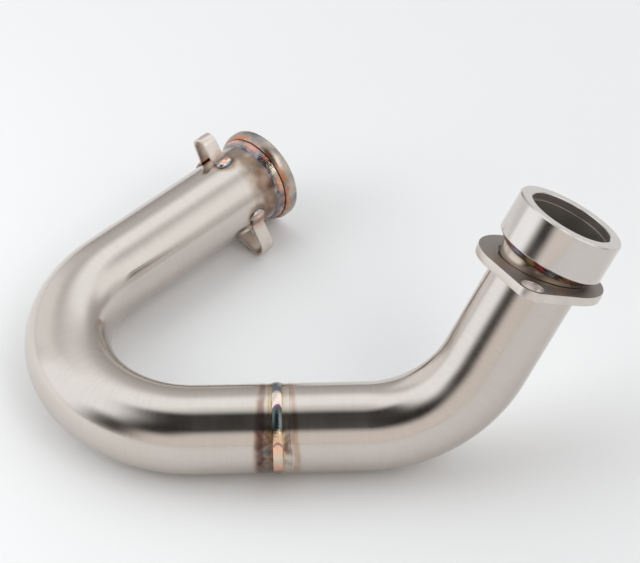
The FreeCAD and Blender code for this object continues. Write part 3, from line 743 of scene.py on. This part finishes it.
def ripple(spacing, depth, bow, width, seed):
    """Shape function of a bead: coin edges a spacing apart round it, bowed over its width."""
    def shape(along, radius, angle, index):
        if index < 2:
            return 0.0, 0.0
        circle = 2 * math.pi * TUBE_RADIUS
        count = round(circle / spacing)
        wobble = noise.noise(Vector((math.cos(angle) * 4, math.sin(angle) * 4, seed)))
        phase = count * angle / (2 * math.pi) + bow * ((along - seed) / width) ** 2 + 0.5 * wobble
        coin = abs(math.sin(math.pi * phase))
        uneven = noise.noise(Vector((math.cos(angle) * 9, math.sin(angle) * 9, along + seed)))
        above = max(0.0, radius - TUBE_RADIUS)
        fade = min(1.0, above / 0.3)
        return 0.0, -fade * (depth * (1 - coin) + 0.06 * (0.5 + 0.5 * uneven))
    return shape


def tube(name, node, place, first, turn, last, material):
    """Tube section from the middle weld to its end."""
    arc = BEND_RADIUS * math.radians(turn)
    length = first + arc + last

    def at(along, radius, angle):
        if along <= first:
            step = shifted(along)
        elif along <= first + arc:
            step = tube_end(first, math.degrees((along - first) / BEND_RADIUS), 0)
        else:
            step = tube_end(first, turn, along - first - arc)
        return place @ step @ Vector((0, radius * math.cos(angle), radius * math.sin(angle)))

    steps = round(length / TUBE_STATION_PITCH)
    stations = [length * step / steps for step in range(steps + 1)]
    stations[0] = TUBE_EDGE
    stations[-1] = length - TUBE_EDGE
    rows = [(0, TUBE_RADIUS - TUBE_EDGE)]
    rows += [(station, TUBE_RADIUS) for station in stations]
    rows += [(length, TUBE_RADIUS - TUBE_EDGE), (length, TUBE_BORE_RADIUS + TUBE_EDGE)]
    rows += [(station, TUBE_BORE_RADIUS) for station in reversed(stations)]
    rows += [(0, TUBE_BORE_RADIUS + TUBE_EDGE)]
    piece = swept(name, node, material, at, rows, TUBE_STEPS)
    line_inside(piece, TUBE_BORE, TUBE_STEPS, len(stations) + 2, len(rows) - 2)


def turned_at(place):
    """Point function of a lathe-turned piece whose axis is its frame's X."""
    def at(along, radius, angle):
        return place @ Vector((along, radius * math.cos(angle), radius * math.sin(angle)))
    return at


def collar():
    """Port collar: its bore, the ledge on the tube's end, and its outside."""
    lip = -COLLAR_LIP
    low = -COLLAR_HEIGHT
    rows = [(-COLLAR_BORE_CHAMFER, COLLAR_BORE_RADIUS), (lip, COLLAR_BORE_RADIUS)]
    rows += [(lip, SOCKET_RADIUS), (low, SOCKET_RADIUS)]
    rows += [(low, COLLAR_RADIUS - COLLAR_ROUND)]
    centre = (low + COLLAR_ROUND, COLLAR_RADIUS - COLLAR_ROUND)
    rows += arc_points(centre, COLLAR_ROUND, 180, 90, COLLAR_ROUND_STEPS)[1:]
    rows += [(-COLLAR_CHAMFER, COLLAR_RADIUS), (0, COLLAR_RADIUS - COLLAR_CHAMFER)]
    rows += [(0, COLLAR_BORE_RADIUS + COLLAR_BORE_CHAMFER)]
    rows.reverse()
    piece = swept(
        "port_collar_skin", "port_collar", COLLAR_STEEL, turned_at(PORT), rows,
        TURNED_STEPS)
    line_inside(piece, COLLAR_BORE, TURNED_STEPS, len(rows) - 4, len(rows) - 2)


def outlet_ring():
    """Outlet ring: a taper towards its weld and a rounded outer end."""
    low = -RING_LENGTH
    rows = [(low, SOCKET_RADIUS), (low, RING_WELD_SIDE_RADIUS - RING_EDGE)]
    rows += [(low + RING_EDGE, RING_WELD_SIDE_RADIUS), (-RING_ROUND - RING_LAND, RING_RADIUS)]
    centre = (-RING_ROUND, RING_RADIUS - RING_ROUND)
    rows += arc_points(centre, RING_ROUND, 90, 0, RING_ROUND_STEPS)
    rows += [(0, SOCKET_RADIUS)]
    swept(
        "outlet_ring_skin", "outlet_ring", RING_STEEL, turned_at(OUTLET), rows,
        TURNED_STEPS)


def bulge_points(start, end, bulge, steps):
    """Points from start to end on an arc that stands out by bulge on the left of the line."""
    start, end = Vector(start), Vector(end)
    middle = (start + end) / 2
    half = (end - start).length / 2
    side = Vector((-(end - start).y, (end - start).x)).normalized()
    radius = (half * half + bulge * bulge) / (2 * bulge)
    centre = middle - side * (radius - bulge)
    first = math.atan2(start.y - centre.y, start.x - centre.x)
    last = math.atan2(end.y - centre.y, end.x - centre.x)
    turn = (last - first + math.pi) % (2 * math.pi) - math.pi
    points = []
    for step in range(steps + 1):
        angle = first + turn * step / steps
        points.append((centre.x + radius * math.cos(angle), centre.y + radius * math.sin(angle)))
    return points


def wavy_toe(shape, face, length, depth, seed):
    """The same shape with its edge on the tube drawn back here and there by up to depth."""
    def shaped(along, radius, angle, index):
        shift = shape(along, radius, angle, index)
        wave = noise.noise(Vector((math.cos(angle) * 5, math.sin(angle) * 5, seed)))
        pull = depth * (0.5 + 0.5 * wave) * (face - along) / length
        return shift[0] + pull, shift[1]
    return shaped


def fillet(name, node, place, face, length, outer, bulge, material, shape, wave):
    """Fillet weld behind a face at along=face, from the tube up to radius outer."""
    shape = wavy_toe(shape, face, length, wave, outer)
    rows = [(face, TUBE_RADIUS)]
    toe = (face - length, TUBE_RADIUS)
    rows += bulge_points(toe, (face, outer), bulge, FILLET_PROFILE_STEPS)
    swept(name, node, material, turned_at(place), rows, FILLET_STEPS, shape)


def middle_bead():
    """Butt weld between the two tube sections."""
    half = MIDDLE_WELD_WIDTH / 2
    ends = (-half, TUBE_RADIUS), (half, TUBE_RADIUS)
    rows = bulge_points(*ends, MIDDLE_WELD_CROWN, BEAD_PROFILE_STEPS)
    swept(
        "middle_weld_skin", "middle_weld", MIDDLE_BEAD_HEAT_AND_REFLECTION, turned_at(HEADER), rows,
        BEAD_STEPS, ripple(spacing=1.7, depth=0.035, bow=0.5, width=half, seed=0.0))


def flange_outline():
    """Hull of the middle disc and the two ears, as points of (across, up)."""
    half = STUD_SPACING / 2
    lean = math.acos((FLANGE_RADIUS - FLANGE_EAR_RADIUS) / half)
    points = []
    for centre, radius, start, stop, steps in (
            (half, FLANGE_EAR_RADIUS, -lean, lean, EAR_STEPS),
            (0.0, FLANGE_RADIUS, lean, math.pi - lean, DISC_STEPS),
            (-half, FLANGE_EAR_RADIUS, math.pi - lean, math.pi + lean, EAR_STEPS),
            (0.0, FLANGE_RADIUS, math.pi + lean, 2 * math.pi - lean, DISC_STEPS)):
        for step in range(steps + 1):
            angle = start + (stop - start) * step / steps
            points.append((radius * math.sin(angle), centre + radius * math.cos(angle)))
    return points


def circle_points(centre, radius, count):
    """Hole of the flange, its middle a distance up from the plate's, as points of (across, up)."""
    points = []
    for step in range(count):
        angle = 2 * math.pi * step / count
        points.append((radius * math.sin(angle), centre + radius * math.cos(angle)))
    return points


def flange():
    """Loose plate with its bore and two stud holes."""
    half = STUD_SPACING / 2
    curve = bpy.data.curves.new("flange_outline", "CURVE")
    curve.dimensions = "2D"
    curve.fill_mode = "BOTH"
    curve.extrude = FLANGE_THICKNESS / 2 - FLANGE_EDGE
    curve.bevel_depth = FLANGE_EDGE
    curve.bevel_resolution = 2
    curve.offset = -FLANGE_EDGE
    loops = [flange_outline(), circle_points(0, FLANGE_BORE_RADIUS, FLANGE_BORE_STEPS)]
    loops += [circle_points(side * half, STUD_HOLE / 2, STUD_HOLE_STEPS) for side in (1, -1)]
    for loop in loops:
        spline = curve.splines.new("POLY")
        spline.points.add(len(loop) - 1)
        for point, (across, up) in zip(spline.points, loop):
            point.co = (across, up, 0, 1)
        spline.use_cyclic_u = True
    holder = bpy.data.objects.new("flange_outline", curve)
    mesh = bpy.data.meshes.new_from_object(holder)
    bpy.data.objects.remove(holder)
    bpy.data.curves.remove(curve)
    # Curve X and Y become the plate's Y and Z, curve Z its X
    vertices = [FLANGE @ Vector((vertex.co.z, vertex.co.x, vertex.co.y)) for vertex in mesh.vertices]
    faces = [tuple(polygon.vertices) for polygon in mesh.polygons]
    flat = [(vertex.co.x, vertex.co.y) for vertex in mesh.vertices]
    bpy.data.meshes.remove(mesh)
    piece = new_piece(
        "head_flange_skin", "head_flange", PLATE_FACE, vertices, faces, flat)
    piece.data.materials.append(PLATE_EDGE)
    through = (FLANGE.to_3x3() @ Vector((1, 0, 0))).normalized()
    for polygon in piece.data.polygons:
        if abs(polygon.normal.dot(through)) < FLAT_COSINE:
            polygon.material_index = 1


def hook_line(hook):
    """Half of a strap's middle line from its tip to its foot, as (height, across, heading)."""
    lean = math.radians(HOOKS[hook]["lean"])
    tip_radius = HOOKS[hook]["tip_radius"]
    tip = TUBE_RADIUS + HOOK_HEIGHT - HOOK_STRAP / 2 - tip_radius
    outward = Vector((math.sin(lean), math.cos(lean)))
    down = Vector((-math.cos(lean), math.sin(lean)))
    leg_top = Vector((tip, 0)) + outward * tip_radius
    reach_out = leg_top + outward * HOOK_FOOT_RADIUS
    along = reach_out.dot(down)
    bend = FOOT_RADIUS + HOOK_FOOT_RADIUS
    leg = -along - math.sqrt(bend ** 2 - reach_out.dot(reach_out) + along ** 2)
    leg_foot = leg_top + down * leg
    centre = leg_foot + outward * HOOK_FOOT_RADIUS
    touch = math.atan2(centre.y, centre.x)
    end = HOOKS[hook]["reach"] / FOOT_RADIUS

    points = []
    stop = math.pi / 2 - lean
    for step in range(HOOK_TIP_STEPS + 1):
        angle = stop * step / HOOK_TIP_STEPS
        points.append((tip + tip_radius * math.cos(angle), tip_radius * math.sin(angle), angle))
    for step in range(1, HOOK_LEG_STEPS + 1):
        spot = leg_top + down * leg * step / HOOK_LEG_STEPS
        points.append((spot.x, spot.y, stop))
    for step in range(1, HOOK_FOOT_STEPS + 1):
        angle = stop + (touch - stop) * step / HOOK_FOOT_STEPS
        points.append((
            centre.x - HOOK_FOOT_RADIUS * math.cos(angle),
            centre.y - HOOK_FOOT_RADIUS * math.sin(angle), angle))
    for step in range(1, HOOK_FOOT_STEPS + 1):
        angle = touch + (end - touch) * step / HOOK_FOOT_STEPS
        points.append((FOOT_RADIUS * math.cos(angle), FOOT_RADIUS * math.sin(angle), angle))
    return points


def strap_section():
    """Rounded rectangle of the strap as (along the tube, out of the strap)."""
    points = []
    for side_x, side_y, start in ((1, 1, 0), (-1, 1, 90), (-1, -1, 180), (1, -1, 270)):
        centre = (side_x * (HOOK_WIDTH / 2 - HOOK_EDGE), side_y * (HOOK_STRAP / 2 - HOOK_EDGE))
        points += arc_points(centre, HOOK_EDGE, start, start + 90, HOOK_EDGE_STEPS)
    return points


def spring_hook(hook):
    """Strap bent into a loop, both feet lying on the tube."""
    place = hook_frame(hook)
    half = hook_line(hook)
    line = [(height, -across, -heading) for height, across, heading in reversed(half[1:])] + half
    section = strap_section()
    count = len(section)
    vertices, uvs = [], []
    run = 0.0
    for index, (height, across, heading) in enumerate(line):
        if index:
            run += math.dist(line[index - 1][:2], (height, across))
        for along, out in section:
            lift = out * math.cos(heading)
            sway = out * math.sin(heading)
            vertices.append(place @ Vector((along, height + lift, across + sway)))
            uvs.append((run, along))
    faces = ring_faces(len(line), count)
    faces.append(tuple(range(count - 1, -1, -1)))
    faces.append(tuple(range((len(line) - 1) * count, len(line) * count)))
    new_piece(hook + "_skin", hook, HOOK_STEEL[hook], vertices, faces, uvs)


def foot_blob(hook, side, direction):
    """Weld over one end of a strap, lying on the tube."""
    place = foot_frame(hook, direction) @ turned("X", -90)
    rings, count = FOOT_WELD_RINGS, FOOT_WELD_STEPS
    vertices, uvs = [], []
    for ring in range(1, rings):
        polar = math.pi * ring / rings
        height = math.cos(polar) * (FOOT_WELD_HEIGHT if ring <= rings / 2 else FOOT_WELD_BURIED)
        for step in range(count):
            turn = 2 * math.pi * step / count
            along = FOOT_WELD_WIDTH / 2 * math.sin(polar) * math.cos(turn)
            across = FOOT_WELD_LENGTH / 2 * math.sin(polar) * math.sin(turn)
            drop = TUBE_RADIUS - math.sqrt(TUBE_RADIUS ** 2 - across ** 2)
            vertices.append(place @ Vector((along, across, height - drop)))
            uvs.append((along, across))
    faces = ring_faces(rings - 1, count)
    vertices += [place @ Vector((0, 0, height)) for height in (FOOT_WELD_HEIGHT, -FOOT_WELD_BURIED)]
    uvs += [(0, 0), (0, 0)]
    top, bottom = len(vertices) - 2, len(vertices) - 1
    last = (rings - 2) * count
    faces += [(top, (step + 1) % count, step) for step in range(count)]
    faces += [(bottom, last + step, last + (step + 1) % count) for step in range(count)]
    name = "%s_%s_weld" % (hook, side)
    new_piece(name + "_skin", name, FOOT_BEADS[hook], vertices, faces, uvs)


tube(
    "rear_tube_skin", "rear_tube", REAR, REAR_STRAIGHT, REAR_BEND, OUTLET_STRAIGHT,
    REAR_TUBE_STEEL)
tube(
    "head_tube_skin", "head_tube", HEAD, HEAD_STRAIGHT, HEAD_BEND, PORT_STRAIGHT - COLLAR_LIP,
    HEAD_TUBE_STEEL)
middle_bead()
collar()
fillet(
    "port_weld_skin", "port_weld", PORT, -COLLAR_HEIGHT, PORT_WELD_LENGTH,
    COLLAR_RADIUS - PORT_WELD_MARGIN, PORT_WELD_BULGE, PORT_BEAD,
    ripple(spacing=3.8, depth=0.12, bow=0.8, width=PORT_WELD_LENGTH, seed=3.0), PORT_TOE_DRAW)
outlet_ring()
fillet(
    "outlet_weld_skin", "outlet_weld", OUTLET, -RING_LENGTH, OUTLET_WELD_LENGTH,
    RING_WELD_SIDE_RADIUS - OUTLET_WELD_STEP, OUTLET_WELD_BULGE, OUTLET_BEAD,
    ripple(spacing=3.6, depth=0.16, bow=0.8, width=OUTLET_WELD_LENGTH, seed=5.0), OUTLET_TOE_DRAW)
flange()
for hook, facts in HOOKS.items():
    spring_hook(hook)
    for side, direction in zip(facts["sides"], (1, -1)):
        foot_blob(hook, side, direction)


# Floor, camera and light
FLOOR_REACH = 4.0
FLOOR_COLOUR = (0.93, 0.93, 0.93, 1)
FLOOR_ROUGHNESS = 0.9
PHOTO_WIDTH = 640
FOCAL_PIXELS = 2522.0
SENSOR_WIDTH = 36.0
CLIP_START = 0.01
# The camera's place in mm and its axes, in the header's frame
CAMERA_PLACE = (2.926, -867.984, 902.668)
CAMERA_RIGHT = (0.999659, -0.025689, -0.004607)
CAMERA_UP = (0.020837, 0.679301, 0.733564)


def floor():
    """Plain pale floor, a square that reaches as far as FLOOR_REACH in metres."""
    mesh = bpy.data.meshes.new("floor")
    reach = FLOOR_REACH
    corners = [(-reach, -reach, 0), (reach, -reach, 0), (reach, reach, 0), (-reach, reach, 0)]
    mesh.from_pydata(corners, [], [(0, 1, 2, 3)])
    plane = bpy.data.objects.new("floor", mesh)
    bpy.context.scene.collection.objects.link(plane)
    material = bpy.data.materials.new("floor_paper")
    material.use_nodes = True
    shader = material.node_tree.nodes["Principled BSDF"]
    shader.inputs["Base Color"].default_value = FLOOR_COLOUR
    shader.inputs["Roughness"].default_value = FLOOR_ROUGHNESS
    mesh.materials.append(material)
    plane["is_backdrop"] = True


def camera():
    """Camera at the photograph's place."""
    data = bpy.data.cameras.new("camera")
    data.sensor_width = SENSOR_WIDTH
    data.lens = FOCAL_PIXELS * SENSOR_WIDTH / PHOTO_WIDTH
    data.clip_start = CLIP_START
    item = bpy.data.objects.new("camera", data)
    bpy.context.scene.collection.objects.link(item)
    right = Vector(CAMERA_RIGHT)
    up = Vector(CAMERA_UP)
    back = right.cross(up)
    place = Matrix((right, up, back)).transposed().to_4x4()
    place.translation = Vector(CAMERA_PLACE)
    place = HEADER @ place
    place.translation *= MM
    item.matrix_world = place
    bpy.context.scene.camera = item


# Name, azimuth from the far side of the view, elevation, half width, half height and softness,
# all in degrees, and light
SOFTBOXES = [
    ("top_back", -30, 66, 56, 16, 10, (1.2, 1.24, 1.27)),
    ("left", -86, 22, 23, 31, 11, (1.21, 1.26, 1.3)),
    ("left_back", -43, 16, 20, 21, 9, (0.98, 0.98, 0.98)),
    ("right_low", 98, 9, 26, 10, 8, (0.72, 0.71, 0.7)),
    ("right", 84, 35, 26, 17, 9, (1.13, 1.15, 1.16)),
    ("right_top", 142, 56, 20, 22, 8, (2.5, 2.5, 2.5)),
    ("front_card", -178, 6, 46, 25, 6, (0.86, 0.82, 0.78)),
    ("front_left", -150, -12, 40, 12, 8, (0.78, 0.75, 0.72)),
    ("dark_top", -172, 62, 22, 24.5, 7, (0.02, 0.018, 0.017)),
    ("dark_middle", -150, 40, 14, 13, 10, (0.02, 0.018, 0.017)),
    ("dark_side", -128, 18, 13, 14, 10, (0.05, 0.047, 0.045)),
]
ROOM_LOW = (0.44, 0.43, 0.42, 1)
ROOM_HIGH = (0.7, 0.7, 0.7, 1)


def window(tree, direction, azimuth, elevation, half_width, half_height, soft):
    """1 inside a softbox seen at a direction and 0 outside."""
    turn = math.radians(azimuth)
    rise = math.radians(elevation)
    ahead = (math.sin(turn) * math.cos(rise), math.cos(turn) * math.cos(rise), math.sin(rise))
    right = (math.cos(turn), -math.sin(turn), 0.0)
    up = tuple(Vector(right).cross(Vector(ahead)))
    parts = []
    for axis in (right, up, ahead):
        inputs = {0: direction, 1: axis}
        dot = put(tree, "ShaderNodeVectorMath", inputs, operation="DOT_PRODUCT")
        parts.append(dot.outputs["Value"])
    across = maths(tree, "ABSOLUTE", maths(tree, "ARCTAN2", parts[0], parts[2]))
    height = maths(tree, "ABSOLUTE", maths(tree, "ARCSINE", parts[1]))
    sides = [
        spread(tree, value, math.radians(half - soft), math.radians(half + soft), 1.0, 0.0)
        for value, half in ((across, half_width), (height, half_height))]
    return maths(tree, "MULTIPLY", *sides)


def world():
    """Plain pale room with softboxes."""
    item = bpy.data.worlds.new("studio")
    item.use_nodes = True
    tree = item.node_tree
    direction = put(tree, "ShaderNodeTexCoord").outputs["Generated"]
    height = put(tree, "ShaderNodeSeparateXYZ", {0: direction}).outputs[2]
    light = blend(tree, spread(tree, height, -0.05, 0.75), ROOM_LOW, ROOM_HIGH)
    for _, *shape, radiance in SOFTBOXES:
        light = blend(tree, window(tree, direction, *shape), light, radiance + (1,))
    tree.links.new(light, tree.nodes["Background"].inputs["Color"])
    bpy.context.scene.world = item


def fill_light(name, place, aim, size, power):
    """Soft rectangular light that the camera doesn't see."""
    data = bpy.data.lights.new(name, "AREA")
    data.shape = "RECTANGLE"
    data.size, data.size_y = size
    data.energy = power
    item = bpy.data.objects.new(name, data)
    bpy.context.scene.collection.objects.link(item)
    item.location = place
    item.rotation_euler = (Vector(aim) - Vector(place)).to_track_quat("-Z", "Y").to_euler()
    item.visible_camera = False
    item.visible_glossy = False


fill_light(
    "left_fill", place=(-0.55, -0.05, 0.3), aim=(-0.32, -0.05, 0.0), size=(0.5, 0.3), power=0.8)
bpy.context.scene.view_settings.view_transform = "Standard"
floor()
camera()
world()
boxes = {"cad": CAD_BOX, "visual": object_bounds()}
{name: [list(corner) for corner in box] for name, box in boxes.items()}
